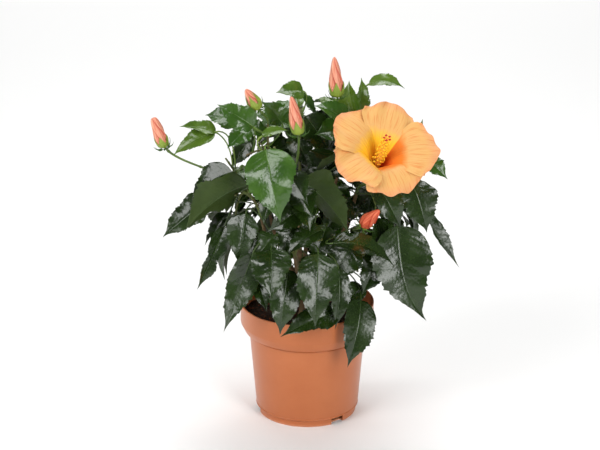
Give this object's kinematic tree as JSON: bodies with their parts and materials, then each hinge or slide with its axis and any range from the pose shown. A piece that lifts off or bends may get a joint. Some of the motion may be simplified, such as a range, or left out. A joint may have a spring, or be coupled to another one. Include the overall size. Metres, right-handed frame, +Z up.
{
  "type": "potted hibiscus shrub",
  "caption": "Potted hibiscus shrub: a short woody trunk forks into slim boughs with a full crown of glossy toothed leaves, an open bloom and closed buds, in a plain round plastic nursery pot.",
  "frame": {"origin": "centre of the pot's flat underside", "axes": "+Z up; +X to the right seen from the front; the front, with the open bloom, faces -Y"},
  "size_m": [0.2925, 0.2243, 0.362],
  "materials": {
    "pot_plastic": "satin terracotta-coloured plastic",
    "potting_mix": "dark crumbly potting mix, dull",
    "bark": "thin grey-brown bark, dull",
    "leaves": "glossy dark green, paler and duller underneath",
    "petals": "soft apricot petals, yellow and orange at the throat",
    "buds": "furled salmon petals in a green calyx"
  },
  "bodies": {
    "root": {"pot": "pot_plastic", "soil": "potting_mix", "trunk": "bark", "bough_left": "bark", "bough_upper_left": "bark", "bough_top": "bark", "bough_upper_right": "bark", "bough_bloom": "bark", "bough_right": "bark", "bough_front": "bark", "bough_front_low": "bark", "bough_right_low": "bark", "bough_back_left": "bark", "bough_back": "bark", "bough_back_right": "bark", "foliage_left": "leaves", "foliage_upper_left": "leaves", "foliage_top": "leaves", "foliage_upper_right": "leaves", "foliage_right": "leaves", "foliage_front": "leaves", "foliage_front_low": "leaves", "foliage_right_low": "leaves", "foliage_back_left": "leaves", "foliage_back": "leaves", "foliage_back_right": "leaves", "bloom": "petals", "bud_left": "buds", "bud_upper_left": "buds", "bud_centre": "buds", "bud_top": "buds", "bud_right": "buds"}
  },
  "joints": []
}
